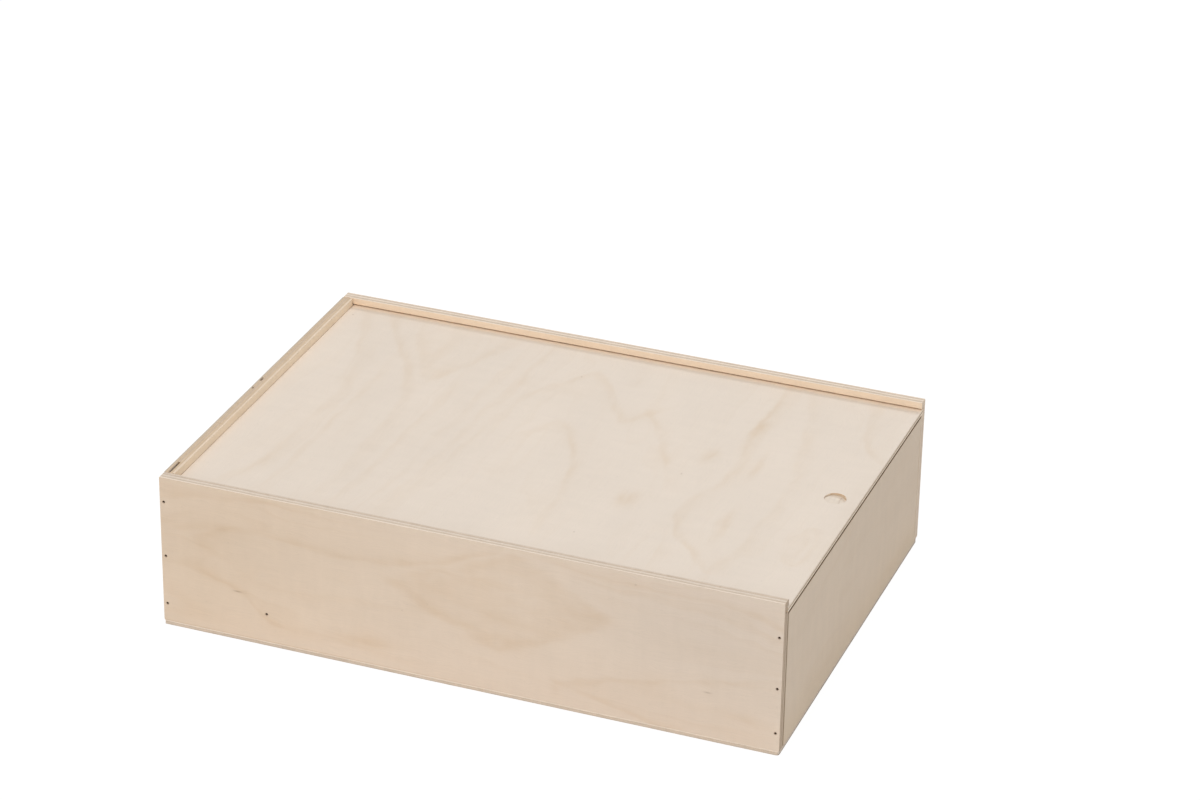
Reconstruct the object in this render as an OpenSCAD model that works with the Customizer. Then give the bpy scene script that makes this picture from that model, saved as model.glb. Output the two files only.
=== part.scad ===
// Plywood presentation box for three bottles, with a lid that slides out at one end.
// Millimetres. +X runs along the box to the open end, where the lid comes out.
// +Y runs to the back, +Z up, and the origin is the middle of the underside.

/* [Box] */
// Length over the end walls
box_l = 380; // [360:1:420]
// Width over the long walls
box_w = 265; // [250:1:300]
// Height from the underside to the rim
box_h = 98; // [92:1:120]
// Thickness of the long walls, front and back
wall_t = 6.5; // [6:0.5:9]
// Thickness of the two end walls
end_t = 6.5; // [6:0.5:9]
// Thickness of the bottom panel
bottom_t = 3; // [3:0.5:6]
// How far the bottom panel stays in from the walls' outer faces
bottom_inset = 0.3; // [0:0.1:1]

/* [Lid] */
// Thickness of the lid
lid_t = 3; // [3:0.25:4]
// Height of the rim above the lid grooves
rim_h = 4; // [3:0.5:8]
// Depth of the lid grooves
groove_depth = 4; // [3:0.25:4.5]
// Free height above the lid in its grooves
lid_headroom = 1; // [0.5:0.25:1.5]
// Free width beside the lid in its grooves, both sides together
lid_side_play = 3; // [1:0.5:4]
// Gap between the lid's back edge and the floor of the back groove
lid_back_gap = 0.3; // [0.1:0.1:0.9]
// Gap between the lid and the wall at the closed end
lid_end_gap = 0.5; // [0.2:0.1:2]
// Gap between the lid and the lower wall at the open end
low_wall_gap = 1; // [0.5:0.25:2]

/* [Finger recess] */
// Diameter of the finger recess
recess_d = 13; // [12:0.5:18]
// Middle of the recess, from the lid's open end
recess_from_end = 14.5; // [12:0.5:40]
// Wood left under the recess at its deepest point
recess_floor_t = 0.5; // [0.3:0.1:1]
// Tilt of the cutter, which makes the recess deeper towards the open end
recess_tilt = 6.3; // [0:0.1:7]

/* [Neck comb] */
// Middle of the comb, from the outer face of the closed end
comb_from_end = 66.5; // [50:0.5:110]
// Thickness of the comb
comb_t = 6.5; // [5:0.5:9]
// Width of each neck cut-out
neck_w = 37; // [30:1:45]
// Lowest point of a neck cut-out, above the bottom panel
neck_floor = 23.5; // [22:0.5:26]

/* [Dividers] */
// Thickness of each long divider
divider_t = 4; // [3:0.5:6]
// Height of the dividers and the comb above the bottom panel
divider_h = 65; // [58:1:72]
// Gap between an inside panel's end and the wall it meets
panel_gap = 0.2; // [0.1:0.1:0.5]
// Play on each side of a halving joint
halving_play = 0.1; // [0.05:0.05:0.3]

/* [Nails] */
// Diameter of a nail's shank
nail_d = 1.2; // [1:0.1:1.6]
// Diameter of a nail's head
nail_head_d = 1.7; // [1.7:0.1:2.4]
// Thickness of a nail's head
nail_head_t = 0.6; // [0.4:0.1:1]
// Length of a nail's point
nail_point_l = 1.4; // [1:0.1:2]
// How far the heads are punched below the surface
nail_sink = 0.8; // [0.4:0.1:1.4]
// Radial clearance between a nail and its hole
nail_play = 0.02; // [0.02:0.01:0.05]
// Length of the nails in the long walls
wall_nail_l = 21; // [16:1:22]
// Length of the nails in the bottom panel
bottom_nail_l = 14; // [10:1:16]
// Corner nails, from the ends of the long walls
corner_nail_inset = 2.6; // [2.2:0.1:3.4]
// Height of the lowest corner nail
low_nail_z = 14.5; // [12:0.5:20]
// Top corner nail at the closed end, down from the rim
closed_nail_drop = 16; // [12:0.5:24]
// Top corner nail at the open end, down from the lower wall's top
open_nail_drop = 13; // [10:0.5:20]
// How far the middle corner nail lies below halfway
mid_nail_drop = 2; // [0:0.5:6]
// Height of the comb's nails
comb_nail_z = 21.3; // [17:0.1:24]
// Nails in the bottom panel along each long wall
long_nail_count = 5; // [3:1:7]
// Nails in the bottom panel along each end wall
end_nail_count = 2; // [2:1:4]
// First bottom nail, from the corner of the box
bottom_nail_margin = 32; // [28:1:45]

/* [Hidden] */
$fn = 48;

// Overshoot of a cut past the face it opens
cut = 1;
// Bottle lanes, side by side
lane_count = 3;

lid_color = "#e6d8c9";
wall_color = "#d9c6b0";
inner_color = "#d3bb9c";
nail_color = "#5b544c";

// Inside of the box
inner_l = box_l - 2 * end_t;
inner_w = box_w - 2 * wall_t;
closed_x = -box_l / 2;
open_x = box_l / 2;
front_y = -box_w / 2;

// Levels of the grooves and of what meets them
groove_top = box_h - rim_h;
lid_z = groove_top - lid_headroom - lid_t;
low_wall_top = lid_z - low_wall_gap;

// Lid, with its back edge near the floor of the back groove
groove_span = inner_w + 2 * groove_depth;
lid_w = groove_span - lid_side_play;
lid_back_y = groove_span / 2 - lid_back_gap;
lid_left_x = closed_x + end_t + lid_end_gap;
recess_drop = recess_d / 2 * tan(recess_tilt);
recess_depth = lid_t - recess_floor_t - recess_drop;

// Lanes between the dividers
lane_w = (inner_w - (lane_count - 1) * divider_t) / lane_count;
function divider_y(i) = -inner_w / 2 + (i + 1) * lane_w + (i + 0.5) * divider_t;
function lane_y(i) = -inner_w / 2 + (i + 0.5) * lane_w + i * divider_t;
comb_x = closed_x + comb_from_end;
halving_z = bottom_t + divider_h / 2;

// Heights of the three corner nails under a given top nail
function corner_nail_zs(top_z) =
    [low_nail_z, (low_nail_z + top_z) / 2 - mid_nail_drop, top_z];
closed_nail_zs = corner_nail_zs(box_h - closed_nail_drop);
open_nail_zs = corner_nail_zs(low_wall_top - open_nail_drop);
closed_nail_x = closed_x + corner_nail_inset;
open_nail_x = open_x - corner_nail_inset;

// Evenly spaced places over a span, the first and last a margin in from its ends
function spaced(span, count) =
    [for (i = [0 : count - 1]) (span / 2 - bottom_nail_margin) * (2 * i / (count - 1) - 1)];

// A nail driven in along -Z from a face at z = 0
module nail(length) {
    translate([0, 0, -nail_sink - nail_head_t])
        cylinder(d = nail_head_d, h = nail_head_t);
    translate([0, 0, -nail_sink - length + nail_point_l])
        cylinder(d = nail_d, h = length - nail_point_l);
    translate([0, 0, -nail_sink - length])
        cylinder(d1 = nail_d / 4, d2 = nail_d, h = nail_point_l);
}

// The hole of such a nail, open at the face
module nail_hole(length) {
    translate([0, 0, -nail_sink - nail_head_t])
        cylinder(d = nail_head_d + 2 * nail_play, h = nail_sink + nail_head_t + cut);
    translate([0, 0, -nail_sink - length])
        cylinder(d = nail_d + 2 * nail_play, h = length);
}

// Puts its children on the front face at (x, z), driven towards the back
module on_front(x, z) {
    translate([x, front_y, z]) rotate([90, 0, 0]) children();
}

// Puts its children on the panel's underside at (x, y), driven upwards
module on_underside(x, y) {
    translate([x, y, 0]) mirror([0, 0, 1]) children();
}

module front_corner_holes(x, zs) {
    for (z = zs) on_front(x, z) nail_hole(wall_nail_l);
}

module front_corner_nails(x, zs) {
    for (z = zs) on_front(x, z) nail(wall_nail_l);
}

module front_bottom_holes() {
    for (x = spaced(box_l, long_nail_count))
        on_underside(x, front_y + wall_t / 2) nail_hole(bottom_nail_l);
}

module front_bottom_nails() {
    for (x = spaced(box_l, long_nail_count))
        on_underside(x, front_y + wall_t / 2) nail(bottom_nail_l);
}

module open_bottom_holes() {
    for (y = spaced(box_w, end_nail_count))
        on_underside(open_x - end_t / 2, y) nail_hole(bottom_nail_l);
}

module open_bottom_nails() {
    for (y = spaced(box_w, end_nail_count))
        on_underside(open_x - end_t / 2, y) nail(bottom_nail_l);
}

// A pair of the same thing at the front and at the back
module front_and_back() {
    children();
    mirror([0, 1, 0]) children();
}

module bottom_panel() {
    color(wall_color)
    difference() {
        translate([closed_x + bottom_inset, front_y + bottom_inset, 0])
            cube([box_l - 2 * bottom_inset, box_w - 2 * bottom_inset, bottom_t]);
        front_and_back() front_bottom_holes();
        open_bottom_holes();
        mirror([1, 0, 0]) open_bottom_holes();
    }
}

// One long wall, at the front, with its lid groove and its nail holes
module long_wall() {
    difference() {
        translate([closed_x, front_y, bottom_t])
            cube([box_l, wall_t, box_h - bottom_t]);
        translate([closed_x - cut, front_y + wall_t - groove_depth, lid_z])
            cube([box_l + 2 * cut, groove_depth + cut, groove_top - lid_z]);
        front_corner_holes(closed_nail_x, closed_nail_zs);
        front_corner_holes(open_nail_x, open_nail_zs);
        on_front(comb_x, comb_nail_z) nail_hole(wall_nail_l);
        front_bottom_holes();
    }
}

module front_wall() {
    color(wall_color) long_wall();
}

module back_wall() {
    color(wall_color) mirror([0, 1, 0]) long_wall();
}

// One end wall between the long walls, its outer face at x
module end_wall(x, top_z) {
    translate([x, -inner_w / 2, bottom_t])
        cube([end_t, inner_w, top_z - bottom_t]);
}

module closed_end_wall() {
    color(wall_color)
    difference() {
        end_wall(closed_x, box_h);
        front_and_back() front_corner_holes(closed_nail_x, closed_nail_zs);
        mirror([1, 0, 0]) open_bottom_holes();
    }
}

module open_end_wall() {
    color(wall_color)
    difference() {
        end_wall(open_x - end_t, low_wall_top);
        front_and_back() front_corner_holes(open_nail_x, open_nail_zs);
        open_bottom_holes();
    }
}

module lid() {
    color(lid_color)
    difference() {
        translate([lid_left_x, lid_back_y - lid_w, lid_z])
            cube([open_x - lid_left_x, lid_w, lid_t]);
        translate([open_x - recess_from_end, lid_back_y - lid_w / 2, lid_z + lid_t - recess_depth])
            rotate([0, recess_tilt, 0])
            cylinder(d = recess_d, h = lid_t + cut);
    }
}

// A cut-out for one bottle neck: round at the bottom, open at the top
module neck_cut() {
    translate([0, bottom_t + neck_floor + neck_w / 2]) {
        circle(d = neck_w);
        translate([-neck_w / 2, 0]) square([neck_w, divider_h]);
    }
}

module neck_comb() {
    color(inner_color)
    difference() {
        translate([comb_x - comb_t / 2, 0, 0])
            rotate([90, 0, 90])
            linear_extrude(comb_t)
            difference() {
                translate([-inner_w / 2 + panel_gap, bottom_t])
                    square([inner_w - 2 * panel_gap, divider_h]);
                for (i = [0 : lane_count - 1]) translate([lane_y(i), 0]) neck_cut();
                for (i = [0 : lane_count - 2])
                    translate([divider_y(i) - divider_t / 2 - halving_play, bottom_t - cut])
                        square([divider_t + 2 * halving_play,
                                halving_z + halving_play - bottom_t + cut]);
            }
        front_and_back() on_front(comb_x, comb_nail_z) nail_hole(wall_nail_l);
    }
}

// One long divider, cut from above where the comb crosses it
module divider(i) {
    translate([-inner_l / 2 + panel_gap, divider_y(i) + divider_t / 2, 0])
        rotate([90, 0, 0])
        linear_extrude(divider_t)
        difference() {
            translate([0, bottom_t]) square([inner_l - 2 * panel_gap, divider_h]);
            translate([comb_x + inner_l / 2 - panel_gap - comb_t / 2 - halving_play, halving_z])
                square([comb_t + 2 * halving_play, divider_h]);
        }
}

module front_divider() {
    color(inner_color) divider(0);
}

module back_divider() {
    color(inner_color) divider(1);
}

module nails_front_closed() {
    color(nail_color) front_corner_nails(closed_nail_x, closed_nail_zs);
}

module nails_front_open() {
    color(nail_color) front_corner_nails(open_nail_x, open_nail_zs);
}

module nails_back_closed() {
    color(nail_color) mirror([0, 1, 0]) front_corner_nails(closed_nail_x, closed_nail_zs);
}

module nails_back_open() {
    color(nail_color) mirror([0, 1, 0]) front_corner_nails(open_nail_x, open_nail_zs);
}

module comb_nail_front() {
    color(nail_color) on_front(comb_x, comb_nail_z) nail(wall_nail_l);
}

module comb_nail_back() {
    color(nail_color) mirror([0, 1, 0]) on_front(comb_x, comb_nail_z) nail(wall_nail_l);
}

module bottom_nails_front() {
    color(nail_color) front_bottom_nails();
}

module bottom_nails_back() {
    color(nail_color) mirror([0, 1, 0]) front_bottom_nails();
}

module bottom_nails_open() {
    color(nail_color) open_bottom_nails();
}

module bottom_nails_closed() {
    color(nail_color) mirror([1, 0, 0]) open_bottom_nails();
}

bottom_panel();
front_wall();
back_wall();
closed_end_wall();
open_end_wall();
lid();
neck_comb();
front_divider();
back_divider();
nails_front_closed();
nails_front_open();
nails_back_closed();
nails_back_open();
comb_nail_front();
comb_nail_back();
bottom_nails_front();
bottom_nails_back();
bottom_nails_closed();
bottom_nails_open();
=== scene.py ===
# %% [markdown]
# # A birch plywood wine box with a sliding lid
# The box is nine boards and 28 brads: four walls, a bottom, a lid that slides in two
# grooves, and a comb and two dividers inside. Each board could be a plain block with a picture
# of wood on it. Here each one is built as plywood is: an outline, rounded arrises, and plies
# that show on every sawn edge, with the birch figure made by shader nodes.
# The sizes come from the frame, so every board lands where it belongs.

# %% Load the frame
import math
import bmesh
import bpy
import numpy as np
from mathutils import Matrix, Vector, noise
from mathutils.geometry import delaunay_2d_cdt


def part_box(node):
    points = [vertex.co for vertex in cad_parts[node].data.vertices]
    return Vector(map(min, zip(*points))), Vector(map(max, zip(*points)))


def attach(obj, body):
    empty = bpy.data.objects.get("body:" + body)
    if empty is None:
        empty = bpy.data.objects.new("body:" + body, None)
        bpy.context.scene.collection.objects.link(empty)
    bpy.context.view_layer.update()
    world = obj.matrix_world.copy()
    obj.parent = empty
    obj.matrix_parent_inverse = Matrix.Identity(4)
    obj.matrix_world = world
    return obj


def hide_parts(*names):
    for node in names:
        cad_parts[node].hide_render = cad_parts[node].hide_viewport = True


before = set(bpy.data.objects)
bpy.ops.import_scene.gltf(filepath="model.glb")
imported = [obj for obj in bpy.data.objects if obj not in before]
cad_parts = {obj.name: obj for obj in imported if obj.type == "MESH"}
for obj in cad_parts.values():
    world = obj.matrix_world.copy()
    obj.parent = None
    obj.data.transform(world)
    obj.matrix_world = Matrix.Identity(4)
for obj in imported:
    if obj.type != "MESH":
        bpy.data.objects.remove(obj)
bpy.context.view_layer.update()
MM = 0.001
AXES = "xyz"


def node_box(node):
    """Lowest and highest corner of a node of the frame, in millimetres."""
    low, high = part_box(node)
    return np.array(low) / MM, np.array(high) / MM


# %% [markdown]
# ## Camera
# The view is that of a product photograph: a long lens, well above the box, looking along its
# front-right corner. The place and the two turns were found by fitting the corners of the box.

# %% Place the camera
CAMERA_PLACE = Vector((742.7, -1909.7, 1180.5)) * MM
CAMERA_HEADING = math.radians(-20.45)
CAMERA_DOWN = math.radians(27.302)
CAMERA_ROLL = math.radians(-1.026)
LENS = 118.2

camera = bpy.data.objects.new("camera", bpy.data.cameras.new("camera"))
camera.data.lens = LENS
camera.data.sensor_width = 36.0
camera.data.clip_end = 50.0
turn = (Matrix.Rotation(-CAMERA_HEADING, 4, "Z") @ Matrix.Rotation(math.pi / 2 - CAMERA_DOWN, 4, "X")
        @ Matrix.Rotation(-CAMERA_ROLL, 4, "Z"))
camera.matrix_world = Matrix.Translation(CAMERA_PLACE) @ turn
bpy.context.scene.collection.objects.link(camera)
bpy.context.scene.camera = camera
bpy.context.scene.view_settings.view_transform = "Standard"
print("camera", tuple(round(v, 3) for v in camera.location), "lens", LENS)


# %% [markdown]
# ## Small helpers for shader nodes
# A wood material has dozens of nodes. These helpers add one node each, so that a recipe reads
# like a sentence: a value is either a number or the socket of an earlier node.

# %% Node helpers
def add_node(tree, kind, inputs=None, **settings):
    """Adds a node; inputs are numbers or sockets by name or number."""
    made = tree.nodes.new(kind)
    made.location = (len(tree.nodes) // 6 * 190, -(len(tree.nodes) % 6) * 170)
    for key, value in settings.items():
        setattr(made, key, value)
    for key, value in (inputs or {}).items():
        if isinstance(value, bpy.types.NodeSocket):
            tree.links.new(value, made.inputs[key])
        else:
            made.inputs[key].default_value = value
    return made


def calc(tree, operation, *values, clamp=False):
    """One step of arithmetic on numbers."""
    return add_node(tree, "ShaderNodeMath", dict(enumerate(values)), operation=operation,
                    use_clamp=clamp).outputs[0]


def vector_calc(tree, operation, *values):
    """One step of arithmetic on vectors."""
    made = add_node(tree, "ShaderNodeVectorMath", dict(enumerate(values)), operation=operation)
    return made.outputs["Value" if operation in ("DOT_PRODUCT", "LENGTH") else "Vector"]


def scaled_colour(tree, colour, factor):
    """A colour made lighter or darker."""
    made = add_node(tree, "ShaderNodeVectorMath", {0: colour, "Scale": factor}, operation="SCALE")
    return made.outputs["Vector"]


def mixed(tree, share, first, second):
    """From the first colour to the second."""
    return add_node(tree, "ShaderNodeMix", {0: share, 6: first, 7: second},
                    data_type="RGBA").outputs[2]


def between(tree, share, first, second):
    """From the first number to the second."""
    return add_node(tree, "ShaderNodeMix", {0: share, 2: first, 3: second}).outputs[0]


def smooth_step(tree, value, start, end):
    """0 at the start, 1 at the end and a soft way between them."""
    return add_node(tree, "ShaderNodeMapRange", {"Value": value, "From Min": start, "From Max": end},
                    interpolation_type="SMOOTHSTEP").outputs["Result"]


def split(tree, vector):
    """The three numbers of a vector."""
    return add_node(tree, "ShaderNodeSeparateXYZ", {0: vector}).outputs


def grain_noise(tree, place, lengths, detail=2.0, roughness=0.5):
    """Noise whose features have these lengths in millimetres, spread to fill 0 to 1."""
    stretched = vector_calc(tree, "DIVIDE", place, lengths)
    made = add_node(tree, "ShaderNodeTexNoise", {"Vector": stretched, "Scale": 1.0, "Detail": detail,
                                                 "Roughness": roughness})
    return add_node(tree, "ShaderNodeMapRange", {"Value": made.outputs["Fac"], "From Min": 0.3,
                                                 "From Max": 0.7}).outputs["Result"]


def new_group(name, takes, gives):
    """An empty shader node group with named inputs and outputs."""
    tree = bpy.data.node_groups.new(name, "ShaderNodeTree")
    for title, kind, start in takes:
        tree.interface.new_socket(title, in_out="INPUT", socket_type=kind).default_value = start
    for title, kind in gives:
        tree.interface.new_socket(title, in_out="OUTPUT", socket_type=kind)
    entry = tree.nodes.new("NodeGroupInput")
    leave = tree.nodes.new("NodeGroupOutput")
    return tree, entry.outputs, leave.inputs


def use_group(tree, group, inputs):
    """Places a group in a material and returns its outputs."""
    return add_node(tree, "ShaderNodeGroup", inputs, node_tree=group).outputs


FLOAT, COLOUR, VECTOR = "NodeSocketFloat", "NodeSocketColor", "NodeSocketVector"
print("node helpers ready")


# %% [markdown]
# ## Growth rings
# Birch veneer is peeled off the log like paper off a roll, so the knife cuts the growth rings
# at a flat angle, and they show as long lines, arches and islands. Noise alone would give
# rings that could be on any board. So the clear rings of a board are listed, as a curve of
# their place across the board or as an arch with a tip, and noise only bends them.
# The land rises a step at each of them, so that the faint rings between follow their flow.

# %% Groups: ring, arch and patch
def make_ring_group():
    """Marks a ring where the offset is zero, softer on its inner side."""
    tree, takes, gives = new_group(
        "ring",
        [("Offset", FLOAT, 0.0), ("Width", FLOAT, 2.5), ("Strength", FLOAT, 1.0), ("Fill", FLOAT, 0.0),
         ("Marks below", FLOAT, 0.0), ("Land below", FLOAT, 0.0)],
        [("Marks", FLOAT), ("Land", FLOAT)])
    share = calc(tree, "DIVIDE", takes["Offset"], takes["Width"])
    far = calc(tree, "MAXIMUM", share, calc(tree, "MULTIPLY", share, -2.2))
    bell = calc(tree, "EXPONENT", calc(tree, "MULTIPLY", calc(tree, "MULTIPLY", far, far), -1.0))
    inner = smooth_step(tree, share, -0.5, 0.8)
    tail = calc(tree, "EXPONENT", calc(tree, "MULTIPLY", calc(tree, "MAXIMUM", share, 0.0), -0.4))
    tail = calc(tree, "MULTIPLY", calc(tree, "MULTIPLY", tail, inner), 0.45)
    shade = calc(tree, "MULTIPLY_ADD", inner, takes["Fill"], calc(tree, "ADD", bell, tail))
    tree.links.new(calc(tree, "MULTIPLY_ADD", shade, takes["Strength"], takes["Marks below"]),
                   gives["Marks"])
    rise = smooth_step(tree, takes["Offset"], -14.0, 14.0)
    tree.links.new(calc(tree, "ADD", rise, takes["Land below"]), gives["Land"])
    return tree


def make_arch_group():
    """How far inside an arch a place lies, across the grain; fade falls off from its tip."""
    tree, takes, gives = new_group(
        "arch",
        [("Place", VECTOR, (0, 0, 0)), ("Tip", VECTOR, (0, 0, 0)), ("Slope", FLOAT, 0.3),
         ("Roundness", FLOAT, 3.0), ("Reach", FLOAT, 60.0)],
        [("Offset", FLOAT), ("Fade", FLOAT)])
    parts = split(tree, vector_calc(tree, "SUBTRACT", takes["Place"], takes["Tip"]))
    square = calc(tree, "MULTIPLY", takes["Roundness"], takes["Roundness"])
    root = calc(tree, "SQRT", calc(tree, "MULTIPLY_ADD", parts[1], parts[1], square))
    half = calc(tree, "SUBTRACT", root, takes["Roundness"])
    tree.links.new(calc(tree, "SUBTRACT", calc(tree, "MULTIPLY", parts[0], takes["Slope"]), half),
                   gives["Offset"])
    far = calc(tree, "DIVIDE", calc(tree, "ABSOLUTE", parts[0]), takes["Reach"])
    tree.links.new(smooth_step(tree, far, 1.0, 0.3), gives["Fade"])
    return tree


def make_patch_group():
    """A soft round or long patch."""
    tree, takes, gives = new_group(
        "patch",
        [("Place", VECTOR, (0, 0, 0)), ("Centre", VECTOR, (0, 0, 0)), ("Size", VECTOR, (1, 1, 1)),
         ("Strength", FLOAT, 1.0), ("Marks below", FLOAT, 0.0)],
        [("Marks", FLOAT)])
    share = vector_calc(tree, "DIVIDE", vector_calc(tree, "SUBTRACT", takes["Place"], takes["Centre"]),
                        takes["Size"])
    bell = calc(tree, "EXPONENT", calc(tree, "MULTIPLY", vector_calc(tree, "DOT_PRODUCT", share, share),
                                       -1.0))
    tree.links.new(calc(tree, "MULTIPLY_ADD", bell, takes["Strength"], takes["Marks below"]),
                   gives["Marks"])
    return tree


RING, ARCH, PATCH = make_ring_group(), make_arch_group(), make_patch_group()
EVERYWHERE = 1e6


def hand_curve(tree, share, points):
    """A smooth curve through (place, value) points, both from 0 to 1."""
    made = add_node(tree, "ShaderNodeFloatCurve", {"Value": share})
    made.mapping.extend = "HORIZONTAL"
    curve = made.mapping.curves[0]
    curve.points[0].location = points[0]
    curve.points[1].location = points[-1]
    for point in points[1:-1]:
        curve.points.new(*point)
    made.mapping.update()
    return made.outputs["Value"]


def add_patches(tree, place, patches, dark=0.0):
    """Soft patches, (centre, size, strength), on top of what is dark already."""
    for centre, size, strength in patches:
        dark = use_group(tree, PATCH, {"Place": place, "Centre": (*centre, 0.0),
                                       "Size": (*size, EVERYWHERE), "Strength": strength,
                                       "Marks below": dark})["Marks"]
    return dark


def draw_figure(tree, place, lie, figure):
    """Listed marks and the land they shape; places are (along the grain, across it) in mm."""
    low, high = lie["low"], lie["high"]
    grain, cross = lie["grain"], lie["cross"]
    length, width = float(high[grain] - low[grain]), float(high[cross] - low[cross])
    parts = split(tree, place)
    share = calc(tree, "DIVIDE", calc(tree, "SUBTRACT", parts[0], float(low[grain])), length)
    marks = {"Marks": 0.0, "Land": 0.0}
    for soft, ring in figure.get("rings", ()):
        spots = [((a - low[grain]) / length, (b - low[cross]) / width, s) for a, b, s in ring]
        path = hand_curve(tree, share, [(a, b) for a, b, s in spots])
        path = calc(tree, "MULTIPLY_ADD", path, width, float(low[cross]))
        strength = hand_curve(tree, share, [(a, s) for a, b, s in spots])
        marks = use_group(tree, RING, {"Offset": calc(tree, "SUBTRACT", parts[1], path), "Width": soft,
                                       "Strength": strength, "Marks below": marks["Marks"],
                                       "Land below": marks["Land"]})
    for tips, soft, strength, fill in figure.get("arches", ()):
        offset, fade = None, None
        for tip, slope, roundness, reach in tips:
            arch = use_group(tree, ARCH, {"Place": place, "Tip": (*tip, 0.0), "Slope": slope,
                                          "Roundness": roundness, "Reach": reach})
            offset = calc(tree, "MINIMUM", offset, arch["Offset"]) if offset else arch["Offset"]
            fade = calc(tree, "MINIMUM", fade, arch["Fade"]) if fade else arch["Fade"]
        marks = use_group(tree, RING, {"Offset": offset, "Width": soft, "Fill": fill,
                                       "Strength": calc(tree, "MULTIPLY", fade, strength),
                                       "Marks below": marks["Marks"], "Land below": marks["Land"]})
    return add_patches(tree, place, figure.get("patches", ()), marks["Marks"]), marks["Land"]


print("groups", RING.name, ARCH.name, PATCH.name)


# %% [markdown]
# ## The face of a birch veneer
# Besides the rings, a sanded birch face has soft cloudy curls across the grain, fine fibres
# along it and short open pores. Each is a stretched noise at its own scale. All of them stay
# faint, because fresh birch is a quiet wood.

# %% Group: birch face
RING_BROWN = (0.84, 0.72, 0.56)


def make_face_group():
    """Colour, height and roughness of a veneer's face."""
    tree, takes, gives = new_group(
        "birch_face",
        [("Place", VECTOR, (0, 0, 0)), ("Land", FLOAT, 0.0), ("Marks", FLOAT, 0.0),
         ("Colour", COLOUR, (0.8, 0.7, 0.6, 1)), ("Rings", FLOAT, 1.0), ("Curl", FLOAT, 1.0),
         ("Fibres", FLOAT, 1.0)],
        [("Colour", COLOUR), ("Height", FLOAT), ("Roughness", FLOAT)])
    place = takes["Place"]
    broad = grain_noise(tree, place, (240, 36, 1), 1.0)
    land = calc(tree, "MULTIPLY_ADD", broad, 2.2, takes["Land"])
    rise = calc(tree, "FRACT", land)
    drop = smooth_step(tree, rise, 1.0, 0.86)
    faint = calc(tree, "MULTIPLY", calc(tree, "POWER", rise, 5.0), drop)
    fine = calc(tree, "POWER", calc(tree, "FRACT", calc(tree, "MULTIPLY", land, 5.0)), 2.0)
    fade = grain_noise(tree, place, (90, 40, 1), 1.0)
    faint = calc(tree, "MULTIPLY", calc(tree, "MULTIPLY_ADD", fine, 0.14, faint), fade)
    uneven = calc(tree, "MULTIPLY_ADD", grain_noise(tree, place, (24, 9, 1), 2.0), 0.9, 0.35)
    lines = calc(tree, "MULTIPLY", takes["Marks"], uneven)
    lines = calc(tree, "MULTIPLY_ADD", faint, takes["Rings"], lines, clamp=True)

    curl = grain_noise(tree, place, (7, 26, 1), 2.0, 0.55)
    tone = grain_noise(tree, place, (120, 45, 1), 1.0)
    fibres = grain_noise(tree, place, (22, 0.5, 1), 3.0, 0.6)
    pores = grain_noise(tree, place, (2.6, 0.3, 1), 1.0)
    pores = calc(tree, "MULTIPLY_ADD", pores, 5.0, -4.0, clamp=True)

    light = calc(tree, "MULTIPLY", calc(tree, "SUBTRACT", curl, 0.5), takes["Curl"])
    light = calc(tree, "MULTIPLY_ADD", calc(tree, "SUBTRACT", fibres, 0.5), takes["Fibres"], light)
    light = calc(tree, "MULTIPLY_ADD", calc(tree, "SUBTRACT", tone, 0.5), 0.035, light)
    light = calc(tree, "MULTIPLY_ADD", pores, -0.04, light)
    wood = scaled_colour(tree, takes["Colour"], calc(tree, "ADD", light, 1.0))
    brown = vector_calc(tree, "MULTIPLY", wood, RING_BROWN)
    tree.links.new(mixed(tree, lines, wood, brown), gives["Colour"])
    rough = calc(tree, "MULTIPLY_ADD", fibres, 0.10, 0.52)
    tree.links.new(calc(tree, "MULTIPLY_ADD", lines, -0.08, rough), gives["Roughness"])
    height = calc(tree, "MULTIPLY_ADD", pores, -1.0, fibres)
    tree.links.new(height, gives["Height"])
    return tree


BIRCH_FACE = make_face_group()
print("group", BIRCH_FACE.name, len(BIRCH_FACE.nodes), "nodes")


# %% [markdown]
# ## The sawn edge of plywood
# On an edge every other ply is cut across its fibres. Those plies drink in dirt and look brown
# and short, while the plies cut along the fibres stay pale. Which is which swaps between the
# long and the short edges of one board, so the group is told how far each point faces along
# the grain. Thin dark lines of glue part the plies, and the saw leaves faint marks.

# %% Group: sawn edge
GLUE_LINE_HALF = 0.07


def ply_ramp(tree, depth, stops, sharp):
    """A value or colour that depends on the depth; stops are (share of the thickness, value)."""
    made = add_node(tree, "ShaderNodeValToRGB", {"Fac": depth})
    ramp = made.color_ramp
    ramp.interpolation = "CONSTANT" if sharp else "LINEAR"
    while len(ramp.elements) > 1:
        ramp.elements.remove(ramp.elements[-1])
    for number, (place, value) in enumerate(stops):
        stop = ramp.elements.new(place) if number else ramp.elements[0]
        stop.position = place
        stop.color = (*value, 1) if isinstance(value, tuple) else (value, value, value, 1)
    return made.outputs["Color"]


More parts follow.
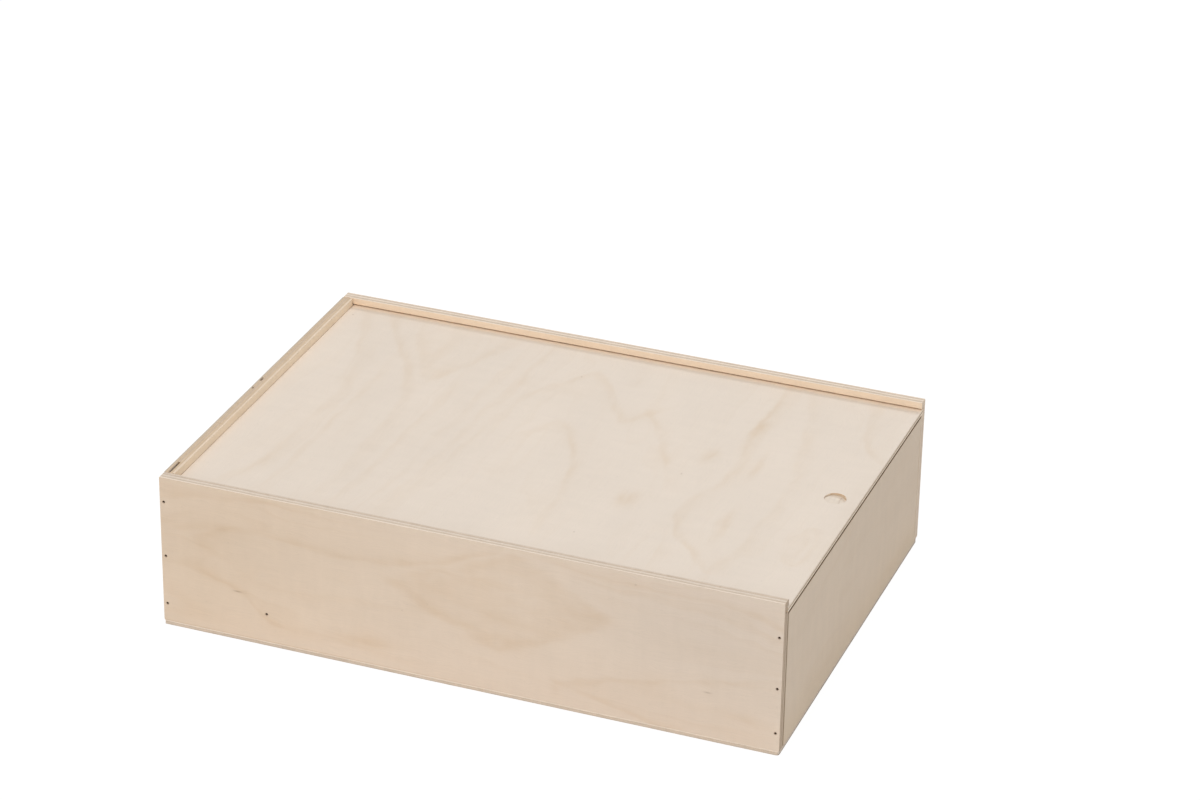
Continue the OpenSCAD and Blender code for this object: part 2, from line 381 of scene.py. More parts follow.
def make_edge_group(name, glue_lines, thickness):
    """Glue lines are their depths in millimetres, from one face to the other."""
    tree, takes, gives = new_group(
        name,
        [("Along edge", FLOAT, 0.0), ("Depth", FLOAT, 0.0), ("Other way", FLOAT, 0.0),
         ("Across grain", FLOAT, 0.0), ("Cut flat", FLOAT, 0.0),
         ("Pale", COLOUR, (0.8, 0.7, 0.6, 1)), ("Brown", COLOUR, (0.6, 0.5, 0.4, 1)),
         ("Glue", COLOUR, (0.4, 0.3, 0.2, 1))],
        [("Colour", COLOUR), ("Height", FLOAT), ("Ply place", FLOAT)])
    run = add_node(tree, "ShaderNodeCombineXYZ", {0: takes["Along edge"], 1: takes["Depth"],
                                                  2: takes["Other way"]}).outputs[0]
    slow = grain_noise(tree, run, (45, 60, 200), 1.0)
    quick = grain_noise(tree, run, (5, 8, 30), 2.0)
    depth = calc(tree, "MULTIPLY_ADD", calc(tree, "SUBTRACT", slow, 0.5), 0.36, takes["Depth"])
    depth = calc(tree, "MULTIPLY_ADD", calc(tree, "SUBTRACT", quick, 0.5), 0.14, depth)
    share = calc(tree, "DIVIDE", depth, thickness)
    tree.links.new(share, gives["Ply place"])
    cross_stops = [(0.0, 0.0)]
    glue_stops = [(0.0, 0.0)]
    line = GLUE_LINE_HALF / thickness
    for number, at in enumerate(glue_lines):
        middle = at / thickness
        cross_stops.append((middle, float(number % 2 == 0)))
        glue_stops += [(middle - line, 0.0), (middle, 1.0), (middle + line, 0.0)]
    cross = ply_ramp(tree, share, cross_stops, True)
    glue = ply_ramp(tree, share, glue_stops, False)

    end_grain = calc(tree, "ABSOLUTE", calc(tree, "SUBTRACT", cross, takes["Across grain"]))
    end_grain = calc(tree, "MULTIPLY", end_grain, calc(tree, "SUBTRACT", 1.0, takes["Cut flat"]))
    streaks = grain_noise(tree, run, (14, 0.22, 3), 3.0, 0.6)
    specks = grain_noise(tree, run, (0.35, 0.6, 0.8), 2.0, 0.6)
    patches = grain_noise(tree, run, (11, 1.1, 30), 2.0)
    saw = grain_noise(tree, run, (0.9, 30, 30), 1.0)
    ends = calc(tree, "MULTIPLY_ADD", specks, 0.16, 0.86)
    ends = calc(tree, "MULTIPLY_ADD", patches, 0.12, ends)
    sides = calc(tree, "MULTIPLY_ADD", streaks, 0.10, 0.92)
    brown = scaled_colour(tree, takes["Brown"], ends)
    pale = scaled_colour(tree, takes["Pale"], calc(tree, "MULTIPLY_ADD", patches, 0.04, sides))
    wood = mixed(tree, end_grain, pale, brown)
    wood = scaled_colour(tree, wood, calc(tree, "MULTIPLY_ADD", saw, 0.05, 0.975))
    glue_shade = calc(tree, "MULTIPLY", glue, calc(tree, "MULTIPLY_ADD", patches, 0.5, 0.2), clamp=True)
    tree.links.new(mixed(tree, glue_shade, wood, takes["Glue"]), gives["Colour"])
    height = calc(tree, "MULTIPLY_ADD", specks, calc(tree, "MULTIPLY", end_grain, 0.8), streaks)
    height = calc(tree, "MULTIPLY_ADD", saw, 0.4, height)
    tree.links.new(calc(tree, "MULTIPLY_ADD", glue, -0.6, height), gives["Height"])
    return tree


WALL_GLUE_LINES = (1.0, 2.4, 3.8, 5.5)
LID_GLUE_LINES = (0.9, 2.1)
DIVIDER_GLUE_LINES = (1.2, 2.8)
FIVE_PLY = make_edge_group("sawn_edge_five_ply", WALL_GLUE_LINES, 6.5), WALL_GLUE_LINES
THREE_PLY = make_edge_group("sawn_edge_three_ply", LID_GLUE_LINES, 3.0), LID_GLUE_LINES
DIVIDER_PLY = make_edge_group("sawn_edge_divider", DIVIDER_GLUE_LINES, 4.0), DIVIDER_GLUE_LINES
print("groups", [plies[0].name for plies in (FIVE_PLY, THREE_PLY, DIVIDER_PLY)])


# %% [markdown]
# ## Wear and a painted highlight on the arrises
# Every arris is broken with sandpaper and then rubbed by hands, so it is a touch paler than
# the faces. The same lightening also stands for the highlight that an arris catches, so it is
# partly a painted highlight. The surface itself tells where an arris is: its direction points
# between two sides of the board. Noise keeps the rubbing and the painted highlight uneven.

# %% Group: arris wear and painted highlight
def make_wear_and_highlight_group():
    """How rubbed a place is, plus a painted highlight, most of all on the arrises."""
    tree, takes, gives = new_group("arris_wear_and_highlight", [("Normal", VECTOR, (0, 0, 1)),
                                                  ("Place", VECTOR, (0, 0, 0))], [("Wear", FLOAT)])
    sides = vector_calc(tree, "ABSOLUTE", takes["Normal"])
    total = vector_calc(tree, "DOT_PRODUCT", sides, (1, 1, 1))
    slant = calc(tree, "MULTIPLY", calc(tree, "SUBTRACT", total, 1.0), 2.4, clamp=True)
    uneven = grain_noise(tree, takes["Place"], (9, 9, 9), 2.0)
    tree.links.new(calc(tree, "MULTIPLY", slant, calc(tree, "MULTIPLY_ADD", uneven, 0.7, 0.3),
                        clamp=True), gives["Wear"])
    return tree


ARRIS_WEAR_AND_HIGHLIGHT = make_wear_and_highlight_group()
print("group", ARRIS_WEAR_AND_HIGHLIGHT.name)


# %% [markdown]
# ## One recipe for every board
# A board is described by its grain direction, the direction across it and the side that faces
# out. The material turns the place of each point into "along the grain, across it, depth
# below the outer face", and then picks the veneer's face or the sawn edge. Wide soft tint
# patches change the colour of parts of a face; some are tone, and some are painted light and
# painted shade, such as light thrown onto the lid and shade along joints. Specks are small pin
# marks in it, and stain rings are the brown rings that damp steel leaves round a brad; on the
# walls of the brad holes that darkening is painted shade.

# %% Birch material
SPECK_TINT = (0.45, 0.36, 0.28)
FRESH_CUT_TINT = (0.97, 1.0, 1.06)
# Stain rings round the brads are the brown of damp steel in the wood; on the walls of the brad holes the
# same darkening is painted shade.
STAIN_AND_HOLE_SHADE_SIZE, STAIN_AND_HOLE_SHADE_STRENGTH, STAIN_AND_HOLE_SHADE_TINT = (0.62, 0.62), 2.5, (0.28, 0.17, 0.09)
INNER_SIDE_SHIFT = 40.0
FACE_DEPTH = 0.3


def board_axes(node, grain, cross, outside):
    """How a board lies: axis numbers of grain, cross and thickness, and its outer face."""
    thick = ({0, 1, 2} - {AXES.index(grain), AXES.index(cross)}).pop()
    low, high = node_box(node)
    return {"grain": AXES.index(grain), "cross": AXES.index(cross), "thick": thick,
            "outside": outside, "outer": high[thick] if outside > 0 else low[thick],
            "thickness": high[thick] - low[thick], "low": low, "high": high}


def spotted(tree, wood, place, spots, outside, tint):
    """Wood with spots on its outer side, none stronger than the tint."""
    if not spots:
        return wood
    share = calc(tree, "MINIMUM", add_patches(tree, place, spots), 1.0)
    return mixed(tree, calc(tree, "MULTIPLY", share, outside), wood,
                 vector_calc(tree, "MULTIPLY", wood, tint))


def birch(name, lie, plies, face, pale, brown, glue=(0.45, 0.31, 0.20), inner=None, rings=0.3,
          curl=0.03, fibres=0.05, seed=0.0, figure=None, clear=1.0, tints_with_painted_light_and_shade=(), specks=(), stains_and_hole_shade=(),
          tones=None, ends=(0.85, 0.83, 0.80)):
    """The material of one board; clear is how strong its figure is, tones shade its plies.
    Specks and brad stain rings are dark: specks only on the veneer, stain rings on the walls of
    holes too, where the darkening is painted shade. Tint patches change the tone of the face,
    and some of them are painted light and some painted shade."""
    edge_group, glue_lines = plies
    material = bpy.data.materials.new(name)
    material.use_nodes = True
    tree = material.node_tree
    shader = tree.nodes["Principled BSDF"]
    where = add_node(tree, "ShaderNodeTexCoord")
    place = vector_calc(tree, "MULTIPLY", where.outputs["Object"], (1 / MM,) * 3)
    parts = split(tree, place)
    sides = split(tree, vector_calc(tree, "ABSOLUTE", where.outputs["Normal"]))
    depth = calc(tree, "MULTIPLY", calc(tree, "SUBTRACT", parts[lie["thick"]], float(lie["outer"])),
                 float(-lie["outside"]))
    inside = calc(tree, "GREATER_THAN", depth, lie["thickness"] / 2)
    layer = calc(tree, "MULTIPLY_ADD", inside, INNER_SIDE_SHIFT, seed)
    flat = add_node(tree, "ShaderNodeCombineXYZ", {0: parts[lie["grain"]], 1: parts[lie["cross"]],
                                                   2: layer}).outputs[0]
    bend = grain_noise(tree, flat, (34, 12, 1), 2.0)
    bend = calc(tree, "MULTIPLY", calc(tree, "SUBTRACT", bend, 0.5), 4.5)
    bent = vector_calc(tree, "ADD", flat, add_node(tree, "ShaderNodeCombineXYZ", {1: bend}).outputs[0])
    outside = calc(tree, "SUBTRACT", 1.0, inside)
    shown = calc(tree, "MULTIPLY", outside, clear)
    marks, land = draw_figure(tree, bent, lie, figure or {})
    face_colour = (*face, 1)
    if inner:
        face_colour = mixed(tree, inside, (*face, 1), (*inner, 1))
    veneer = use_group(tree, BIRCH_FACE, {
        "Place": bent, "Land": calc(tree, "MULTIPLY", land, outside),
        "Marks": calc(tree, "MULTIPLY", marks, shown), "Colour": face_colour, "Rings": rings,
        "Curl": curl, "Fibres": fibres})
    wood = veneer["Colour"]
    # Tint patches: some change the tone, some are painted light and painted shade.
    for centre, size, tint in tints_with_painted_light_and_shade:
        wood = spotted(tree, wood, flat, [(centre, size, 1.0)], outside, tint)
    wood = spotted(tree, wood, flat, specks, outside, SPECK_TINT)

    along_grain = calc(tree, "SUBTRACT", sides[lie["grain"]], sides[lie["cross"]])
    along_grain = calc(tree, "MULTIPLY_ADD", along_grain, 4.0, 0.5, clamp=True)
    edge_run = between(tree, along_grain, parts[lie["grain"]], parts[lie["cross"]])
    edge_side = between(tree, along_grain, parts[lie["cross"]], parts[lie["grain"]])
    edge = use_group(tree, edge_group, {"Along edge": edge_run, "Depth": depth, "Other way": edge_side,
                                        "Across grain": along_grain, "Cut flat": sides[lie["thick"]],
                                        "Pale": (*pale, 1), "Brown": (*brown, 1), "Glue": (*glue, 1)})
    sawn = edge["Colour"]
    if tones:
        starts = [0.0] + [at / lie["thickness"] for at in glue_lines]
        shade = ply_ramp(tree, edge["Ply place"], list(zip(starts, tones)), True)
        fresh = vector_calc(tree, "MULTIPLY", sawn, FRESH_CUT_TINT)
        sawn = mixed(tree, sides[lie["thick"]], vector_calc(tree, "MULTIPLY", sawn, shade), fresh)
    sawn = mixed(tree, along_grain, sawn, vector_calc(tree, "MULTIPLY", sawn, ends))
    from_middle = calc(tree, "ABSOLUTE", calc(tree, "SUBTRACT", depth, lie["thickness"] / 2))
    near_face = calc(tree, "SUBTRACT", from_middle, lie["thickness"] / 2 - FACE_DEPTH)
    near_face = calc(tree, "MULTIPLY", near_face, 12.0, clamp=True)
    is_face = calc(tree, "MULTIPLY_ADD", sides[lie["thick"]], 5.0, -2.6, clamp=True)
    is_face = calc(tree, "MULTIPLY", is_face, near_face)
    rub_and_highlight = use_group(tree, ARRIS_WEAR_AND_HIGHLIGHT, {"Normal": where.outputs["Normal"], "Place": place})["Wear"]
    wood = mixed(tree, is_face, sawn, wood)
    # Stain rings round the brads, which on the hole walls are painted shade.
    wood = spotted(tree, wood, flat, [(centre, STAIN_AND_HOLE_SHADE_SIZE, STAIN_AND_HOLE_SHADE_STRENGTH) for centre in stains_and_hole_shade],
                   outside, STAIN_AND_HOLE_SHADE_TINT)
    # Arrises painted a touch paler: rubbing plus a painted highlight.
    wood = scaled_colour(tree, wood, calc(tree, "MULTIPLY_ADD", rub_and_highlight, 0.06, 1.0))
    rough = between(tree, is_face, 0.72, veneer["Roughness"])
    height = between(tree, is_face, edge["Height"], veneer["Height"])
    bump = add_node(tree, "ShaderNodeBump", {"Height": height, "Strength": 0.35, "Distance": 0.00006})
    tree.links.new(wood, shader.inputs["Base Color"])
    tree.links.new(rough, shader.inputs["Roughness"])
    tree.links.new(bump.outputs["Normal"], shader.inputs["Normal"])
    shader.inputs["Specular IOR Level"].default_value = 0.25
    return material


print("recipe for birch boards ready")


# %% [markdown]
# ## Board outlines
# A board starts as the line round its edge. Straight stretches get a point about every
# millimetre, so that the arris can wander a little, and corners are arcs. The same helper
# turns the round-bottomed cuts of the comb, whose corners have a radius of half their width.

# %% Outline helpers
POINT_STEP = 1.2
CORNER_RADIUS = 0.6


def corner_arc(before, corner, after, radius):
    """Points of the arc that rounds one corner, from one straight side to the next."""
    one = (before - corner) / np.linalg.norm(before - corner)
    two = (after - corner) / np.linalg.norm(after - corner)
    half = math.acos(np.clip(one @ two, -1, 1)) / 2
    middle = (one + two) / np.linalg.norm(one + two)
    centre = corner + middle * radius / math.sin(half)
    start = corner + one * radius / math.tan(half) - centre
    end = corner + two * radius / math.tan(half) - centre
    sweep = math.pi - 2 * half
    sign = math.copysign(1, start[0] * end[1] - start[1] * end[0])
    count = max(3, int(radius * sweep / POINT_STEP))
    return [centre + np.array([start[0] * math.cos(a) - start[1] * math.sin(a),
                               start[0] * math.sin(a) + start[1] * math.cos(a)])
            for a in np.linspace(0, sign * sweep, count + 1)]


def outline_points(corners):
    """The closed line through (u, v, radius) corners, anticlockwise, with points all along it."""
    places = [np.array(c[:2], float) for c in corners]
    line = []
    for i, corner in enumerate(corners):
        line += corner_arc(places[i - 1], places[i], places[(i + 1) % len(corners)], corner[2])
    points = []
    for i, point in enumerate(line):
        gap = np.linalg.norm(line[(i + 1) % len(line)] - point)
        if gap < 1e-6:
            continue
        count = max(1, round(gap / POINT_STEP))
        points += [point + (line[(i + 1) % len(line)] - point) * k / count for k in range(count)]
    return np.array(points)


def inward_of(points):
    """Unit directions from an anticlockwise line to its inside."""
    ahead = np.roll(points, -1, 0) - points
    ahead /= np.linalg.norm(ahead, axis=1)[:, None]
    both = ahead + np.roll(ahead, 1, 0)
    both /= np.linalg.norm(both, axis=1)[:, None]
    return np.stack([-both[:, 1], both[:, 0]], 1)


def rectangle(lie, radius=CORNER_RADIUS, play=(0.0, 0.0)):
    """The four corners of a plain board; play makes it smaller on each side."""
    u, v = lie["grain"], lie["cross"]
    (left, right), (foot, top) = [(lie["low"][a] + p, lie["high"][a] - p) for a, p in zip((u, v), play)]
    return [(left, foot, radius), (right, foot, radius), (right, top, radius), (left, top, radius)]


print("a test square has", len(outline_points([(0, 0, 1), (50, 0, 1), (50, 50, 1), (0, 50, 1)])), "points")


# %% [markdown]
# ## From outline to board
# Rings of the outline are stacked through the thickness. At both faces they draw in along an
# arc, which rounds the arris. At each glue line two rings lie close together, so that one ply
# can stand a little proud of the next, and a pocket can sink one ply alone where the core
# veneer has a gap. Chips are places where the arris radius grows for a few millimetres.
# A bevel modifier could round a block too, but it would leave every arris equally perfect.
# Both faces are closed with Delaunay triangles, which stay well shaped at slots and notches.

# %% Board builder
ARRIS_TURNS = [math.radians(a) for a in (0, 22.5, 45, 67.5, 90)]
FACE_MARGIN = 0.15
GLUE_HALF = 0.03


def arris_radius(points, depth, base, chips, seed):
    """Radius of the rounding at each point; chips is how much the deepest chips add."""
    radius = []
    for u, v in points:
        slow = noise.noise(Vector((u / 17, v / 17, depth + seed)))
        small = noise.noise(Vector((u / 2.6, v / 2.6, depth + seed + 9)))
        patch = noise.noise(Vector((u / 26, v / 26, depth + seed + 5)))
        chip = max(0.0, small - 0.30 - 0.8 * max(0.0, 0.25 - patch)) * chips * 3.0
        radius.append(base * (1 + 0.3 * slow) + chip)
    return np.array(radius)


def corner_guard(points, inward):
    """1 on straight stretches, 0 near corners, where chips would fold the rings over."""
    bend = np.abs((inward * np.roll(inward, 1, 0)).sum(1) - 1) > 1e-4
    near = bend.copy()
    for shift in (-2, -1, 1, 2):
        near |= np.roll(bend, shift)
    return np.where(near, 0.0, 1.0)


def board_rings(lie, corners, glue_lines, arris, chips, pockets, seed, tight):
    """Rings of points through the board; along tight edges, (axis, place), the arris is sharp."""
    points = outline_points(corners)
    inward = inward_of(points)
    guard = corner_guard(points, inward)
    thickness = lie["thickness"]
    wander = np.array([0.04 * (1 + noise.noise(Vector((u / 31, v / 31, seed)))) for u, v in points])
    plan = []
    for face_depth, step, size in ((0.0, 1, arris[0]), (thickness, -1, arris[1])):
        radius = arris_radius(points, face_depth, size, chips, seed)
        radius = np.where(guard > 0, radius, np.minimum(radius, size))
        for axis, place in tight:
            held = np.abs(points[:, 0 if axis == lie["grain"] else 1] - place) < 0.3
            radius = np.where(held, 0.05, radius)
        radius = np.minimum(radius, glue_lines[0] - 0.12)
        side = [(np.full(len(points), face_depth), radius + FACE_MARGIN)]
        for a in ARRIS_TURNS:
            side.append((face_depth + step * radius * (1 - math.cos(a)), radius * (1 - math.sin(a))))
        plan.append(side)
    middle = []
    bounds_of_plies = [0.0, *glue_lines, thickness]
    for ply, (start, end) in enumerate(zip(bounds_of_plies[:-1], bounds_of_plies[1:])):
        sunk = np.array([0.035 * (1 + noise.noise(Vector((u / 7, v / 7, seed + 3.1 * ply))))
                         for u, v in points]) * (ply % 2)
        for low_u, high_u, low_v, high_v, pocket_ply, pocket_depth in pockets:
            held = ((points[:, 0] > low_u) & (points[:, 0] < high_u)
                    & (points[:, 1] > low_v) & (points[:, 1] < high_v))
            if pocket_ply == ply:
                sunk = np.where(held, pocket_depth, sunk)
        if ply > 0:
            middle.append((np.full(len(points), start + GLUE_HALF), sunk))
        if ply < len(glue_lines):
            middle.append((np.full(len(points), end - GLUE_HALF), sunk))
    rings = []
    for depth, inset in plan[0] + middle + plan[1][::-1]:
        ring = np.zeros((len(points), 3))
        place = points + inward * (inset + wander)[:, None]
        ring[:, lie["grain"]] = place[:, 0]
        ring[:, lie["cross"]] = place[:, 1]
        ring[:, lie["thick"]] = lie["outer"] - lie["outside"] * depth
        rings.append(ring)
    return rings


def finish_shading(mesh):
    """Smooth shading, apart from real corners."""
    mesh.shade_smooth()
    mesh.set_sharp_from_angle(angle=math.radians(38))


def mesh_object(name, vertices, faces):
    """A closed mesh from points in millimetres, with its faces turned outwards."""
    mesh = bpy.data.meshes.new(name)
    mesh.from_pydata((np.array(vertices) * MM).tolist(), [], faces)
    form = bmesh.new()
    form.from_mesh(mesh)
    bmesh.ops.triangulate(form, faces=[face for face in form.faces if len(face.verts) > 4])
    bmesh.ops.recalc_face_normals(form, faces=form.faces)
    form.to_mesh(mesh)
    form.free()
    finish_shading(mesh)
    made = bpy.data.objects.new(name, mesh)
    bpy.context.scene.collection.objects.link(made)
    return made


def closing_faces(ring, first):
    """Well-shaped triangles that close a flat ring; first is the number of its first point."""
    flat = np.delete(ring, np.ptp(ring, 0).argmin(), 1)
    ahead = np.roll(flat, -1, 0)
    order = list(range(len(flat)))
    if (flat[:, 0] * ahead[:, 1] - flat[:, 1] * ahead[:, 0]).sum() < 0:
        order.reverse()
    _, _, triangles, sources, _, _ = delaunay_2d_cdt([Vector(p) for p in flat], [], [order], 1, 1e-6)
    return [tuple(first + sources[i][0] for i in triangle) for triangle in triangles]


def lofted(name, rings):
    """Skins rings of equal length and closes both ends."""
    count = len(rings[0])
    faces = closing_faces(rings[0], 0) + closing_faces(rings[-1], (len(rings) - 1) * count)
    for level in range(len(rings) - 1):
        start = level * count
        faces += [(start + i, start + (i + 1) % count, start + count + (i + 1) % count, start + count + i)
                  for i in range(count)]
    return mesh_object(name, np.concatenate(rings), faces)


print("board builder ready,", len(ARRIS_TURNS), "rings round each arris")


# %% [markdown]
# ## Cuts
# The lid groove, the holes of the brads and the finger recess are cut into the finished board
# as a joiner would, with a Boolean. Its manifold solver is fast and keeps a closed board
# closed. All cutters of a board go into one mesh, so each board is cut once.

# %% Cutters
HOLE_SIDES = 28


def block(low, high):
    """Corner points and faces of a block."""
    corners = [(x, y, z) for z in (low[2], high[2]) for x, y in
               ((low[0], low[1]), (high[0], low[1]), (high[0], high[1]), (low[0], high[1]))]
    return corners, [(3, 2, 1, 0), (4, 5, 6, 7), (0, 1, 5, 4), (1, 2, 6, 5), (2, 3, 7, 6), (3, 0, 4, 7)]


def drill(tip, direction, radius, length, sides=HOLE_SIDES):
    """Points and faces of a round cutter that starts at its tip and comes out along direction."""
    direction = Vector(direction).normalized()
    across = direction.orthogonal().normalized()
    other = direction.cross(across)
    points = []
    for far in (0, length):
        for i in range(sides):
            a = 2 * math.pi * i / sides
            points.append(tuple(Vector(tip) + direction * far + radius * (math.cos(a) * across
                                                                         + math.sin(a) * other)))
    faces = [tuple(range(sides))[::-1], tuple(range(sides, 2 * sides))]
    faces += [(i, (i + 1) % sides, sides + (i + 1) % sides, sides + i) for i in range(sides)]
    return points, faces


def cut(piece, cutters):
    """Takes all cutters out of a board with one Boolean."""
    points, faces = [], []
    for more_points, more_faces in cutters:
        faces += [tuple(len(points) + i for i in face) for face in more_faces]
        points += list(more_points)
    cutter = mesh_object("cutter", points, faces)
    step = piece.modifiers.new("cut", "BOOLEAN")
    step.operation = "DIFFERENCE"
    step.solver = "MANIFOLD"
    step.object = cutter
    view = bpy.context.evaluated_depsgraph_get()
    mesh = bpy.data.meshes.new_from_object(piece.evaluated_get(view))
    piece.modifiers.clear()
    piece.data = mesh
    finish_shading(mesh)
    bpy.data.objects.remove(cutter)


def head_places(nodes, axis, outside):
    """Centre of each brad head in these nodes, on its outer plane."""
    found = []
    for node in nodes:
        points = np.array([v.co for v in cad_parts[node].data.vertices]) / MM
        outer = points[:, axis].max() if outside > 0 else points[:, axis].min()
        clusters = []
        for point in points[np.abs(points[:, axis] - outer) < 0.02]:
            near = [c for c in clusters if np.linalg.norm(c[0] - point) < 4]
            if near:
                near[0].append(point)
            else:
                clusters.append([point])
        found += [(np.min(c, 0) + np.max(c, 0)) / 2 for c in clusters]
    return found


HOLE_RADIUS = 0.74
HEAD_THICKNESS = 0.6


def head_holes(nodes, axis, outside, face):
    """One cutter for each brad head, narrower than the head, because wood springs back over it."""
    direction = [0, 0, 0]
    direction[axis] = outside
    cutters = []
    for head in head_places(nodes, axis, outside):
        tip = head.copy()
        tip[axis] -= outside * HEAD_THICKNESS
        cutters.append(drill(tip, direction, HOLE_RADIUS, abs(face - tip[axis]) + 2))
    return cutters


def head_stain_and_shade_places(nodes, lie):
    """Where the brads of these nodes go in, along the grain and across it: the centres of their stain rings
    and of the painted shade in their holes.
    """
    return [(float(head[lie["grain"]]), float(head[lie["cross"]]))
            for head in head_places(nodes, lie["thick"], lie["outside"])]


print("brad heads in the front wall:",
      len(head_places(("nails_front_closed", "nails_front_open", "comb_nail_front"), 1, -1)))


# %% [markdown]
# ## Assembling a board
# One call makes a board, cuts it, gives it its material, hides the frame's node it stands
# for and hangs it on the body it moves with.

# %% Board assembly
def board(name, node, lie, glue_lines, material, body, corners=None, cutters=(),
          arris=(0.22, 0.22), chips=0.0, pockets=(), seed=0.0, tight=()):
    """Makes one finished board; arris is the radius at its outer and at its inner face."""
    rings = board_rings(lie, corners or rectangle(lie), glue_lines, arris, chips, pockets, seed, tight)
    piece = lofted(name, rings)
    if cutters:
        cut(piece, cutters)
    piece.data.materials.clear()
    piece.data.materials.append(material)
    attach(piece, body)
    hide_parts(node)
    print(name, len(piece.data.polygons), "faces")
    return piece


# %% [markdown]
# ## The long walls
# Both long walls are five-ply boards with the grain running along the box. A groove 4 mm high
# runs the whole length for the lid. The front wall's veneer has an island figure in the
# middle and a few long rings, and two short dark pin marks.

# %% Long walls
WALL_FACE = (0.755, 0.625, 0.505)
WALL_INNER = (0.770, 0.620, 0.470)
WALL_PALE = (0.86, 0.74, 0.62)
WALL_BROWN = (0.66, 0.53, 0.41)
ROUGH_ENDS = (0.74, 0.68, 0.61)
GROOVE_DEPTH = 4.0
GROOVE_LOW = node_box("lid")[0][2]
GROOVE_HEIGHT = 4.0
WALL_FOOT = ((2, node_box("front_wall")[0][2]),)


def groove(lie):
    """A long block that cuts the lid groove into the inner face."""
    low, high = lie["low"].copy(), lie["high"].copy()
    inner = lie["outer"] - lie["outside"] * lie["thickness"]
    bottom = inner + lie["outside"] * GROOVE_DEPTH
    beyond = inner - lie["outside"] * 3
    low[0], high[0] = low[0] - 5, high[0] + 5
    low[1], high[1] = min(bottom, beyond), max(bottom, beyond)
    low[2], high[2] = GROOVE_LOW, GROOVE_LOW + GROOVE_HEIGHT
    return block(low, high)


front_lie = board_axes("front_wall", "x", "z", -1)
FRONT_FIGURE = {
    "rings": (
        (3.2, ((-190, 63, 0.1), (-170, 69, 0.3), (-130, 73, 0.5), (-73, 70, 0.6), (-23, 77, 0.6),
               (10, 90, 0.6), (25, 97, 0.0))),
        (3.0, ((-190, 86, 0.5), (-140, 92, 0.5), (-90, 96, 0.3), (-60, 97, 0.0))),
        (3.0, ((30, 97, 0.0), (77, 91, 0.4), (143, 90, 0.4), (190, 82, 0.6))),
        (3.0, ((-190, 43, 0.4), (-163, 41, 0.5), (-137, 31, 0.6), (-123, 17, 0.6), (-110, 15, 0.4),
               (-90, 12, 0.0))),
        (3.0, ((40, 96, 0.0), (70, 88, 0.2), (110, 84, 0.4), (150, 80, 0.4), (190, 72, 0.2)))),
    "arches": (
        ((((-47, 60), 0.40, 3.0, 300.0), ((87, 64), -0.47, 4.0, 300.0)), 4.5, 0.22, 2.6),
        ((((58, 18), 0.21, 2.0, 190.0),), 2.4, 0.6, 0.15),
        ((((-168, 62), 0.45, 2.5, 40.0),), 2.8, 0.35, 0.3)),
    "patches": (((-190, 45), (50, 90), 0.25), ((-62, 18), (24, 4.5), 1.0), ((170, 17), (14, 4), 0.8),
                ((-22, 46), (16, 5), 0.5), ((18, 34), (20, 4), 0.5), ((-30, 63), (10, 6), 0.4),
                ((30, 78), (16, 5), -0.35), ((80, 64), (9, 4), 0.45), ((18, 87), (3, 4), 0.4),
                ((56, 12), (3, 6), 0.4),
                ((120, 60), (60, 6), 0.15), ((-110, 40), (40, 8), 0.12))}
FRONT_SPECKS = (((-141.7, 32.5), (2.6, 0.5), 0.55), ((147, 31.5), (2.2, 0.5), 0.4),
                ((103, 91), (0.7, 0.5), 0.3), ((-38, 43), (0.5, 0.4), 0.2))
# Tint patches of the front face: darker and warmer at the top left, greyer at the top right, warmer at the
# lower left; a painted light along the bottom for light thrown up by the floor; and a thin painted shade
# line along the joint with the bottom panel.
FRONT_TONE_AND_PAINTED_LIGHT_AND_SHADE = (((-150, 88), (120, 60), (0.972, 0.945, 0.905)),
               ((160, 80), (90, 72), (0.938, 0.952, 0.977)),
               ((-190, 20), (110, 45), (1.0, 0.985, 0.955)), ((10, 3), (500, 34), (1.035, 1.025, 1.02)),
               ((-110, 3), (130, 0.5), (0.84, 0.76, 0.66)))
front_nails = ("nails_front_closed", "nails_front_open", "comb_nail_front")
front_birch = birch("birch_front_wall", front_lie, FIVE_PLY, WALL_FACE, WALL_PALE, WALL_BROWN,
                    inner=WALL_INNER, curl=0.022, figure=FRONT_FIGURE, clear=0.34, tints_with_painted_light_and_shade=FRONT_TONE_AND_PAINTED_LIGHT_AND_SHADE,
                    specks=FRONT_SPECKS, stains_and_hole_shade=head_stain_and_shade_places(front_nails, front_lie),
                    tones=(1.0, 0.95, 0.88, 0.93, 0.84), ends=ROUGH_ENDS)
board("front_wall_board", "front_wall", front_lie, WALL_GLUE_LINES, front_birch, "box",
      cutters=[groove(front_lie)] + head_holes(front_nails, 1, -1, -132.5),
      chips=0.2, seed=2.0, tight=WALL_FOOT)

back_lie = board_axes("back_wall", "x", "z", 1)
back_nails = ("nails_back_closed", "nails_back_open", "comb_nail_back")
# The back wall's inner face is painted paler and warmer than the other walls' inner faces: painted light
# for the light that the lid throws onto the rim above it.
back_birch = birch("birch_back_wall", back_lie, FIVE_PLY, WALL_FACE, WALL_PALE, WALL_BROWN,
                   inner=(0.90, 0.72, 0.545), seed=90.0, ends=(0.97, 0.95, 0.92),
                   stains_and_hole_shade=head_stain_and_shade_places(back_nails, back_lie))
board("back_wall_board", "back_wall", back_lie, WALL_GLUE_LINES, back_birch, "box",
      cutters=[groove(back_lie)] + head_holes(back_nails, 1, 1, 132.5),
      chips=0.25, seed=31.0, tight=WALL_FOOT)


# %% [markdown]
# ## The end walls
# The closed end stands as high as the long walls. The open end is 9 mm lower, so that the lid
# can slide out over it. Their grain runs across the box. The core veneers of the closed end
# were laid with gaps, which show as dark slots in its top edge.

# %% End walls
closed_lie = board_axes("closed_end_wall", "y", "z", -1)
